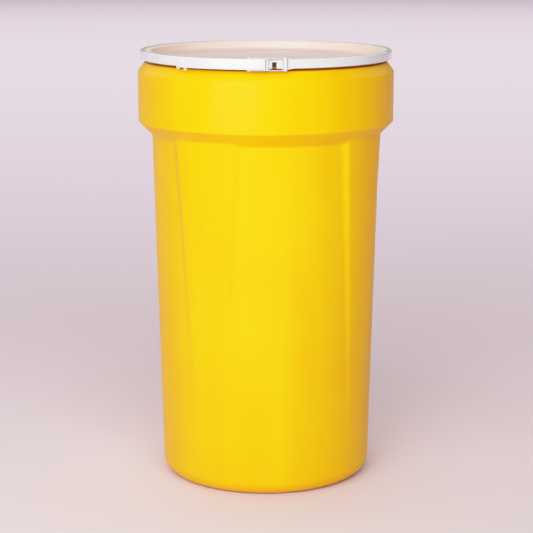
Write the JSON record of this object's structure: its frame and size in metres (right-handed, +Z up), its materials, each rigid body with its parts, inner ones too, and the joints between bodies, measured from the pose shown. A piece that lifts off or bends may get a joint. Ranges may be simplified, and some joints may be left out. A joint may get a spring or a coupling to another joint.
{
  "type": "open-head drum",
  "caption": "Tapered nestable plastic drum with a wide upright collar, a drop-in lid and an over-centre lever-lock ring.",
  "frame": {"origin": "centre of the underside, on the floor", "axes": "+Z up along the drum's axis, -Y towards the ring's latch, +X to the right as seen from the latch side"},
  "size_m": [0.6096, 0.617, 1.0376],
  "materials": {
    "drum_plastic": "satin moulded polyethylene, safety yellow",
    "lid_plastic": "satin natural polyethylene",
    "gasket_rubber": "matte black",
    "ring_paint": "gloss white enamel on steel",
    "pin_steel": "white enamel over steel pins"
  },
  "bodies": {
    "drum": {"drum_body": "drum_plastic"},
    "lid": {"lid": "lid_plastic", "lid_gasket": "gasket_rubber"},
    "ring": {"ring_band": "ring_paint", "lever_bracket": "ring_paint", "seal_lug": "ring_paint", "lever_hinge_pin": "pin_steel"},
    "ring_end": {"ring_keeper": "ring_paint"},
    "lever": {"lever_handle": "ring_paint"},
    "link": {"link_lever_pin": "pin_steel", "link_upper_plate": "ring_paint", "link_lower_plate": "ring_paint", "keeper_sleeve": "pin_steel", "link_keeper_pin": "pin_steel"}
  },
  "joints": [
    {"name": "ring_lift", "type": "slide", "parent": "drum", "child": "ring", "axis": [0, 0, 1], "range_m": [0, 0.3]},
    {"name": "lid_lift", "type": "slide", "parent": "drum", "child": "lid", "axis": [0, 0, 1], "range_m": [0, 0.151]},
    {"name": "lever_swing", "type": "hinge", "parent": "ring", "child": "lever", "pos_m": [0.003, -0.3048, 1.02225], "axis": [0, 0, 1], "range_deg": [0, 150]},
    {"name": "link_swing", "type": "hinge", "parent": "lever", "child": "link", "pos_m": [-0.038, -0.3043, 1.02225], "axis": [0, 0, 1], "range_deg": [-128, 0]},
    {"name": "ring_spread", "type": "hinge", "parent": "ring", "child": "ring_end", "pos_m": [0, 0.299, 1.02225], "axis": [0, 0, 1], "range_deg": [0, 6.7], "deforming": ["ring_band"]}
  ],
  "couplings": [
    {"joint": "lid_lift", "follows": "ring_lift", "ratio": 0.5},
    {"joint": "link_swing", "follows": "lever_swing", "ratio": -0.85263},
    {"joint": "ring_spread", "follows": "lever_swing", "ratio": 0.04444}
  ]
}
